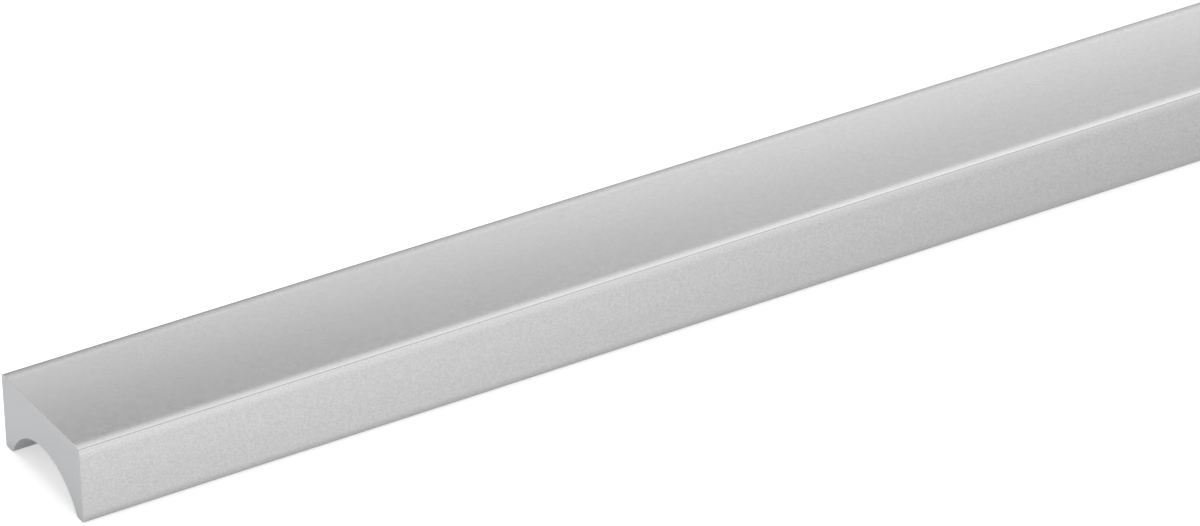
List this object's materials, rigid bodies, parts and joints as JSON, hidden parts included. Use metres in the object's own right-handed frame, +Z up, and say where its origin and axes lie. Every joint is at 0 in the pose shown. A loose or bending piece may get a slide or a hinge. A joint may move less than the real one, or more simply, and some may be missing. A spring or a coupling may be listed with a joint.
{
  "type": "handleless finger pull profile",
  "caption": "Solid extruded aluminium bar of low rectangular section, with a round finger hollow running along its whole underside and a flat back for fixing.",
  "frame": {"origin": "midway along the bar and midway between front and back, on the plane of its two feet", "axes": "+X along the bar, +Y towards the flat back that is fixed to a door or drawer front, +Z up from the feet to the top"},
  "size_m": [1, 0.024, 0.012],
  "materials": {
    "satin_anodised_aluminium": "satin silver anodised, with faint drawing lines along the bar and fine-sawn ends"
  },
  "bodies": {
    "root": {"pull_bar": "satin_anodised_aluminium"}
  },
  "joints": []
}
